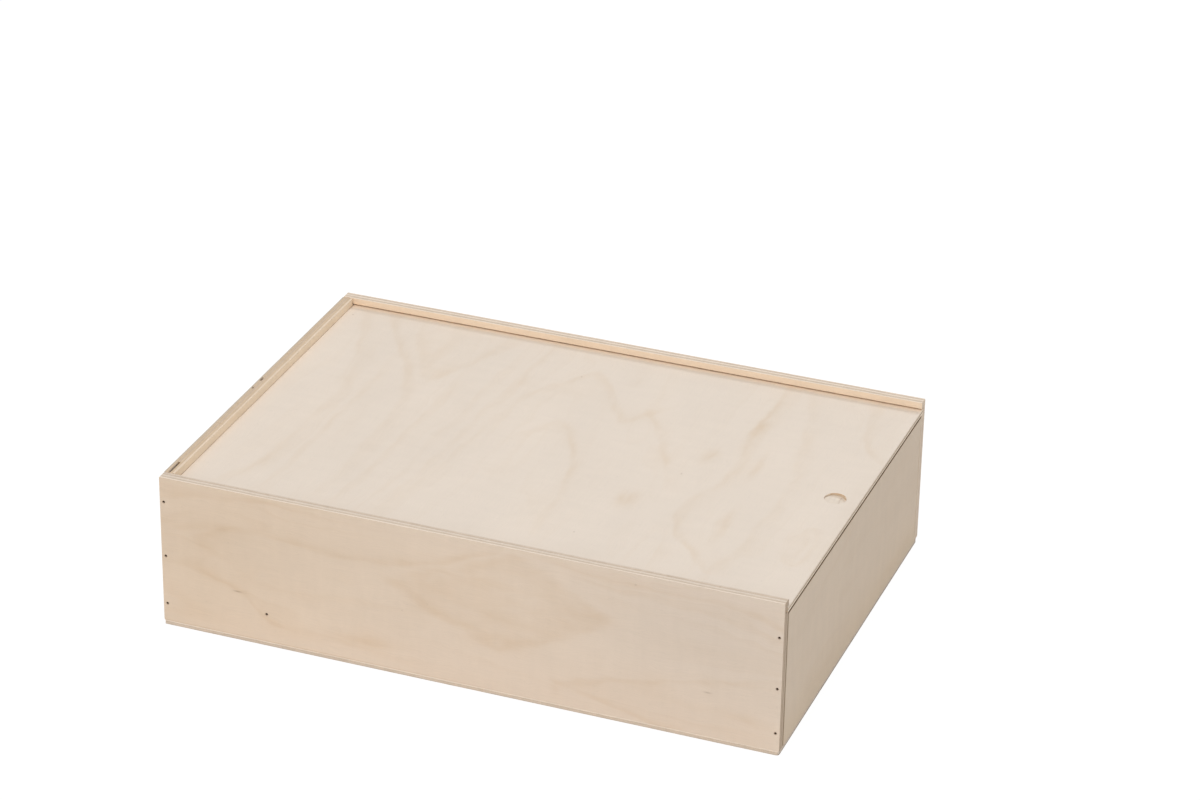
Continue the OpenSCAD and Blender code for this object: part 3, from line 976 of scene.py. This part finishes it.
# The closed end's inner face is painted paler and warmer than the walls' inner faces: painted light for the
# light that the lid throws onto the rim above it.
closed_birch = birch("birch_closed_end", closed_lie, FIVE_PLY, WALL_FACE, (0.84, 0.71, 0.57),
                     (0.62, 0.47, 0.32), inner=(0.93, 0.78, 0.605), seed=180.0,
                     tones=(0.66, 1.0, (0.72, 0.66, 0.60), 1.06, (0.98, 0.94, 0.90)))
CLOSED_GAPS = ((-124.7, -112.0, 97, 99, 2, 7.0), (0.2, 4.3, 97, 99, 1, 6.0),
               (-10.6, -9.0, 97, 99, 1, 5.0))
JOINT_PLAY = 0.5
TOP_PLAY = 0.3
board("closed_end_board", "closed_end_wall", closed_lie, WALL_GLUE_LINES, closed_birch,
      "box", corners=rectangle(closed_lie, play=(JOINT_PLAY, 0.0)),
      chips=0.15, pockets=CLOSED_GAPS, seed=57.0, tight=WALL_FOOT)

open_lie = board_axes("open_end_wall", "y", "z", 1)
# Tint patches of the open end's face: a thin painted shade line at the corner joint with the front wall, a
# thin painted shade line along the top arris under the lid, and a slightly yellower band along the bottom.
OPEN_END_TONE_AND_PAINTED_SHADE = (((-126, 45), (1.0, 1000), (0.62, 0.57, 0.50)),
              ((0, 88.7), (1000, 0.6), (0.74, 0.71, 0.67)), ((0, 0), (1000, 22), (1.0, 0.985, 0.94)))
# The open end's edge colours are darker than the other walls', and its ply tones are dark, most of all the
# outer ply: painted shade for the gap between its top edge and the lid.
open_birch = birch("birch_open_end", open_lie, FIVE_PLY, (0.735, 0.600, 0.465), (0.78, 0.62, 0.46),
                   (0.56, 0.42, 0.29), inner=WALL_INNER, seed=270.0, rings=0.25, tints_with_painted_light_and_shade=OPEN_END_TONE_AND_PAINTED_SHADE,
                   tones=((0.33, 0.25, 0.18), (0.66, 0.56, 0.46), (0.72, 0.66, 0.58), 0.80, 0.85))
open_top = open_lie["high"][2]
open_corners = [(u, v - TOP_PLAY if v == open_top else v, radius)
                for u, v, radius in rectangle(open_lie, play=(JOINT_PLAY, 0.0))]
board("open_end_board", "open_end_wall", open_lie, WALL_GLUE_LINES, open_birch, "box",
      corners=open_corners, chips=0.1, seed=73.0,
      tight=WALL_FOOT + ((2, open_top - TOP_PLAY),))


# %% [markdown]
# ## The bottom panel
# A thin three-ply panel is nailed on from below. Its edges show as a strip under the walls.

# %% Bottom panel
bottom_lie = board_axes("bottom_panel", "x", "y", -1)
bottom_birch = birch("birch_bottom_panel", bottom_lie, THREE_PLY, (0.76, 0.62, 0.49), WALL_PALE,
                     WALL_BROWN, inner=WALL_INNER, seed=360.0, rings=0.5,
                     ends=(0.9, 0.9, 0.9), tones=((0.66, 0.62, 0.58), 0.98, 1.06))
bottom_nails = ("bottom_nails_front", "bottom_nails_back", "bottom_nails_closed", "bottom_nails_open")
BOTTOM_CORNER, WORN_CORNER = 0.5, 1.8
bottom_corners = [(u, v, BOTTOM_CORNER if (u, v) == tuple(bottom_lie["low"][:2]) else WORN_CORNER)
                  for u, v, _ in rectangle(bottom_lie)]
board("bottom_panel_board", "bottom_panel", bottom_lie, LID_GLUE_LINES, bottom_birch, "box",
      corners=bottom_corners, cutters=head_holes(bottom_nails, 2, -1, 0.0),
      arris=(0.15, 0.05), chips=0.1, seed=88.0)


# %% [markdown]
# ## The lid
# The lid is a three-ply sheet with its grain across the box and the liveliest figure: plain
# lines on the left, an arch in the middle and a long loop on the right. Near the open end a
# slanted round recess gives the finger its hold. It cuts through the glue lines, which shows
# as contour lines on its floor.

# %% Lid
LID_FACE = (0.815, 0.715, 0.615)
LID_FIGURE = {
    "rings": (
        (5.5, ((-127, -166, 0.0), (-111, -160, 0.4), (-85, -150, 0.6), (-18, -143, 0.5), (39, -146, 0.6),
               (94, -163, 0.6), (128, -175, 0.3))),
        (5.5, ((-125, -106, 0.0), (-91, -103, 0.4), (-38, -100, 0.5), (22, -105, 0.5), (62, -120, 0.8),
               (105, -146, 0.7), (129, -158, 0.4))),
        (3.8, ((-127, -137, 0.2), (-60, -133, 0.4), (0, -131, 0.5), (70, -131, 0.3), (100, -133, 0.0))),
        (3.8, ((-127, -92, 0.2), (-50, -86, 0.5), (20, -84, 0.5), (60, -83, 0.3), (80, -82, 0.0))),
        (3.2, ((-127, -76, 0.1), (-80, -70, 0.3), (-10, -66, 0.4), (50, -63, 0.4), (129, -58, 0.2))),
        (3.8, ((-127, -64, 0.2), (-60, -58, 0.4), (0, -54, 0.4), (60, -50, 0.5), (129, -42, 0.3))),
        (3.2, ((-127, -60, 0.1), (-70, -53, 0.3), (-10, -46, 0.4), (60, -38, 0.2), (90, -36, 0.0))),
        (3.8, ((-110, 29, 0.0), (-78, 27, 0.5), (-45, 25, 0.7), (-1, 14, 0.9), (18, 4, 0.9), (27, -1, 0.5),
               (32, -3, 0.0))),
        (4.4, ((-30, 82, 0.0), (-11, 77, 0.5), (15, 64, 0.8), (45, 50, 0.9), (59, 40, 0.8), (66, 37, 0.0))),
        (4.6, ((-110, 136, 0.0), (-106, 132, 0.5), (-91, 122, 0.8), (-71, 104, 0.8), (-35, 99, 0.7),
               (5, 110, 0.8), (50, 108, 0.8), (102, 107, 0.9), (129, 105, 0.4))),
        (4.4, ((-110, 135, 0.0), (-104, 137, 0.6), (-98, 139, 0.6), (-65, 145, 0.6), (5, 147, 0.5),
               (39, 142, 0.6), (102, 127, 0.5), (129, 118, 0.3))),
        (3.8, ((-84, 174, 0.0), (-78, 170, 0.5), (-60, 168, 0.6), (-42, 171, 0.5), (-36, 175, 0.0))),
        (3.8, ((-84, 174, 0.0), (-78, 179, 0.5), (-60, 181, 0.6), (-42, 179, 0.5), (-36, 175, 0.0))),
        (4.6, ((48, 190, 0.2), (59, 179, 0.6), (95, 167, 0.6), (129, 160, 0.4)))),
    "arches": (
        ((((52, -100), 0.45, 5.0, 90.0),), 5.0, 0.6, 0.3),
        ((((97, -6), -0.62, 4.0, 70.0),), 4.6, 0.7, 0.2),
        ((((44, 30), 0.60, 4.0, 34.0),), 4.6, 0.6, 0.1),
        ((((28, -6), -0.55, 4.0, 45.0),), 4.4, 0.4, 0.1)),
    "patches": (((-45, 65), (9, 6), 2.2), ((22, 92), (9, 5), 1.7), ((75, 107), (26, 2.4), 1.9),
                ((22, 122), (16, 2.0), 1.1), ((-54, 127), (18, 3.2), 1.6), ((67, -45), (9, 4), 0.9),
                ((52, 35), (9, 6), 0.6), ((94, 19), (6, 3), 0.4), ((-62, 175), (14, 2.5), 0.7),
                ((100, -110), (34, 9), 0.35), ((12, 65), (12, 4), 0.5), ((-85, 20), (14, 10), 0.3),
                ((-40, -150), (60, 10), 0.25), ((-95, 105), (10, 6), 0.5), ((-43, -20), (6, 5), 0.4))}
LID_SPECKS = (((-4.7, 83.7), (0.5, 0.4), 0.6), ((88.7, -14.7), (0.6, 0.4), 0.5),
              ((-93, 51), (0.5, 0.4), 0.5), ((113.7, -178), (0.6, 0.5), 0.5))
# Painted light on the lid: a warm band along the back edge for light thrown down from the back rim, and a
# brighter band along the closed end for light from the closed end's rim.
LID_PAINTED_BOUNCE_LIGHT = (((127, 0), (3.5, 1000), (1.17, 1.07, 0.95)), ((0, -184), (1000, 2), (1.15, 1.15, 1.15)))
RECESS_PLACE = (175.5, 1.2)
RECESS_DIAMETER = 13.0
RECESS_DEPTH = 1.78
RECESS_TILT = math.radians(6.3)
LID_TAIL = 0.3

lid_lie = board_axes("lid", "y", "x", 1)
lid_birch = birch("birch_lid", lid_lie, THREE_PLY, LID_FACE, (0.86, 0.74, 0.60), (0.66, 0.50, 0.35),
                  inner=LID_FACE, seed=0.0, rings=0.15, curl=0.02, fibres=0.035, figure=LID_FIGURE,
                  clear=0.215, tints_with_painted_light_and_shade=LID_PAINTED_BOUNCE_LIGHT, specks=LID_SPECKS, tones=(1.02, 0.80, 1.20),
                  ends=(0.95, 0.90, 0.84))
recess_floor = (*RECESS_PLACE, lid_lie["high"][2] - RECESS_DEPTH)
recess = drill(recess_floor, (math.sin(RECESS_TILT), 0, math.cos(RECESS_TILT)), RECESS_DIAMETER / 2,
               6.0, sides=96)
lid_corners = [(u, v - LID_TAIL if v < 0 else v, radius) for u, v, radius in rectangle(lid_lie)]
board("lid_board", "lid", lid_lie, LID_GLUE_LINES, lid_birch, "lid",
      corners=lid_corners, cutters=[recess], arris=(0.15, 0.15), chips=0.15, seed=104.0,
      tight=((0, lid_lie["low"][0] - LID_TAIL), (0, lid_lie["high"][0])))


# %% [markdown]
# ## The neck comb and the dividers
# Inside, a comb with three round-bottomed cuts holds the bottle necks. Two long dividers cross
# it in halving joints. The comb is slotted from below and the dividers from above, so seen from
# above the plies of the comb run through and the dividers stop short at it.

# %% Comb and dividers
INNER_FACE = (0.745, 0.595, 0.440)
NECK_RADIUS = 18.5
NECK_FLOOR = 3 + 23.5
HALVING_PLAY = 0.1
SLOT_CORNER = 0.05


def comb_corners(lie):
    """The comb's outline, anticlockwise: its foot with the slots, then its top, cut by cut."""
    low, high = lie["low"], lie["high"]
    dividers = [node_box(n) for n in ("front_divider", "back_divider")]
    slots = [(d[0][1] - HALVING_PLAY, d[1][1] + HALVING_PLAY) for d in dividers]
    walls = [node_box("front_wall")[1][1], *(d[side][1] for d in dividers for side in (0, 1)),
             node_box("back_wall")[0][1]]
    centres = [(walls[i] + walls[i + 1]) / 2 for i in (0, 2, 4)]
    cuts = [(c - NECK_RADIUS, c + NECK_RADIUS, NECK_FLOOR, NECK_RADIUS - 0.01) for c in centres]
    slot_top = (low[2] + high[2]) / 2 + HALVING_PLAY
    line = [(low[1], low[2], CORNER_RADIUS)]
    for left, right in slots:
        line += [(left, low[2], CORNER_RADIUS), (left, slot_top, SLOT_CORNER),
                 (right, slot_top, SLOT_CORNER), (right, low[2], CORNER_RADIUS)]
    line += [(high[1], low[2], CORNER_RADIUS), (high[1], high[2], CORNER_RADIUS)]
    for left, right, floor, radius in sorted(cuts, reverse=True):
        line += [(right, high[2], CORNER_RADIUS), (right, floor, radius), (left, floor, radius),
                 (left, high[2], CORNER_RADIUS)]
    print("neck cuts at", [round(c, 1) for c in centres])
    return line + [(low[1], high[2], CORNER_RADIUS)]


def divider_corners(lie):
    """A divider's outline, with its slot from above for the comb."""
    low, high = lie["low"], lie["high"]
    comb = node_box("neck_comb")
    left, right = comb[0][0] - HALVING_PLAY, comb[1][0] + HALVING_PLAY
    slot_floor = (low[2] + high[2]) / 2
    return [(low[0], low[2], CORNER_RADIUS), (high[0], low[2], CORNER_RADIUS),
            (high[0], high[2], CORNER_RADIUS), (right, high[2], CORNER_RADIUS),
            (right, slot_floor, SLOT_CORNER), (left, slot_floor, SLOT_CORNER),
            (left, high[2], CORNER_RADIUS), (low[0], high[2], CORNER_RADIUS)]


comb_lie = board_axes("neck_comb", "y", "z", -1)
comb_birch = birch("birch_neck_comb", comb_lie, FIVE_PLY, INNER_FACE, WALL_PALE, WALL_BROWN,
                   seed=450.0)
board("neck_comb_board", "neck_comb", comb_lie, WALL_GLUE_LINES, comb_birch, "box",
      corners=comb_corners(comb_lie), arris=(0.03, 0.03), seed=120.0)
for number, node in enumerate(("front_divider", "back_divider")):
    lie = board_axes(node, "x", "z", -1)
    wood = birch("birch_" + node, lie, DIVIDER_PLY, INNER_FACE, WALL_PALE, WALL_BROWN,
                 seed=540.0 + 90 * number)
    board(node + "_board", node, lie, DIVIDER_GLUE_LINES, wood, "box",
          corners=divider_corners(lie), arris=(0.03, 0.03), seed=140.0 + 20 * number)


# %% [markdown]
# ## The brads
# Thin steel brads are punched below the surface. Their heads are dark, oxidised steel, dull
# and a little uneven. They keep the frame's own shape.

# %% Brads
def make_steel():
    """Dark steel, unevenly stained and a little rough."""
    material = bpy.data.materials.new("dark_brad_steel")
    material.use_nodes = True
    tree = material.node_tree
    shader = tree.nodes["Principled BSDF"]
    where = add_node(tree, "ShaderNodeTexCoord")
    place = vector_calc(tree, "MULTIPLY", where.outputs["Object"], (1 / MM,) * 3)
    stain = grain_noise(tree, place, (0.5, 0.5, 0.5), 3.0, 0.6)
    tree.links.new(mixed(tree, stain, (0.008, 0.005, 0.003, 1), (0.034, 0.022, 0.014, 1)),
                   shader.inputs["Base Color"])
    tree.links.new(calc(tree, "MULTIPLY_ADD", stain, 0.20, 0.60), shader.inputs["Roughness"])
    shader.inputs["Metallic"].default_value = 0.1
    shader.inputs["Specular IOR Level"].default_value = 0.12
    bump = add_node(tree, "ShaderNodeBump", {"Height": stain, "Strength": 0.4, "Distance": 0.00005})
    tree.links.new(bump.outputs["Normal"], shader.inputs["Normal"])
    return material


steel = make_steel()
brad_nodes = [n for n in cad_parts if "nail" in n]
for node in brad_nodes:
    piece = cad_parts[node]
    piece.data.materials.clear()
    piece.data.materials.append(steel)
print("brad groups", len(brad_nodes))


# %% [markdown]
# ## Floor and light
# The object stands on a plain white floor in soft studio light: a large softbox above the
# front, a smaller one behind that throws the rim's narrow shadow on the lid, and an even
# white surround. The floor and the surround are shown as plain white to the camera.

# %% Floor
FLOOR_HALF, FLOOR_LEVEL = 4.0, -0.0002


def seen_directly(tree):
    """1 for the camera and in reflections, 0 for the light that falls on the object."""
    path = add_node(tree, "ShaderNodeLightPath").outputs
    seen = calc(tree, "MAXIMUM", path["Is Camera Ray"], path["Is Glossy Ray"])
    return calc(tree, "MAXIMUM", seen, path["Is Transmission Ray"])


def make_floor():
    """A white sheet that can't be seen from below."""
    material = bpy.data.materials.new("white_floor")
    material.use_nodes = True
    tree = material.node_tree
    tree.nodes.clear()
    seen = seen_directly(tree)
    paper = add_node(tree, "ShaderNodeBsdfDiffuse", {"Color": (0.90, 0.90, 0.90, 1)}).outputs[0]
    glow = add_node(tree, "ShaderNodeEmission", {"Color": (1, 1, 1, 1), "Strength": 1.08}).outputs[0]
    shown = add_node(tree, "ShaderNodeMixShader", {0: calc(tree, "MULTIPLY", seen, 0.86), 1: paper,
                                                   2: glow}).outputs[0]
    clear = add_node(tree, "ShaderNodeBsdfTransparent").outputs[0]
    below = add_node(tree, "ShaderNodeNewGeometry").outputs["Backfacing"]
    both = add_node(tree, "ShaderNodeMixShader", {0: below, 1: shown, 2: clear}).outputs[0]
    add_node(tree, "ShaderNodeOutputMaterial", {"Surface": both})
    mesh = bpy.data.meshes.new("floor")
    mesh.from_pydata([(x * FLOOR_HALF, y * FLOOR_HALF, FLOOR_LEVEL)
                      for x, y in ((-1, -1), (1, -1), (1, 1), (-1, 1))], [], [(0, 1, 2, 3)])
    mesh.materials.append(material)
    floor = bpy.data.objects.new("floor", mesh)
    bpy.context.scene.collection.objects.link(floor)


make_floor()
print("floor laid")


# %% Lights
def softbox(name, place, aim, size, power, colour=(1, 1, 1)):
    """A rectangular area light at a place in metres, turned to its aim."""
    lamp = bpy.data.lights.new(name, "AREA")
    lamp.shape = "RECTANGLE"
    lamp.size, lamp.size_y = size
    lamp.energy = power
    lamp.color = colour
    made = bpy.data.objects.new(name, lamp)
    made.location = place
    made.rotation_euler = (Vector(aim) - Vector(place)).to_track_quat("-Z", "Y").to_euler()
    bpy.context.scene.collection.objects.link(made)


def make_surround(strength):
    """White to the camera and in reflections, and an even soft light on the object."""
    world = bpy.data.worlds.new("studio")
    bpy.context.scene.world = world
    world.use_nodes = True
    tree = world.node_tree
    seen = seen_directly(tree)
    level = between(tree, seen, strength, 1.05)
    back = tree.nodes["Background"]
    back.inputs["Color"].default_value = (1, 1, 1, 1)
    tree.links.new(level, back.inputs["Strength"])


make_surround(0.45)
softbox("top_softbox", (-0.5, -1.3, 2.2), (0, 0, 0.05), (1.8, 1.4), 25)
softbox("back_softbox", (0.35, 1.9, 1.60), (0, 0, 0.09), (0.8, 0.5), 16)
softbox("front_softbox", (0.6, -2.2, 0.55), (0, 0, 0.04), (2.2, 0.9), 8.4, (1.0, 0.985, 0.96))
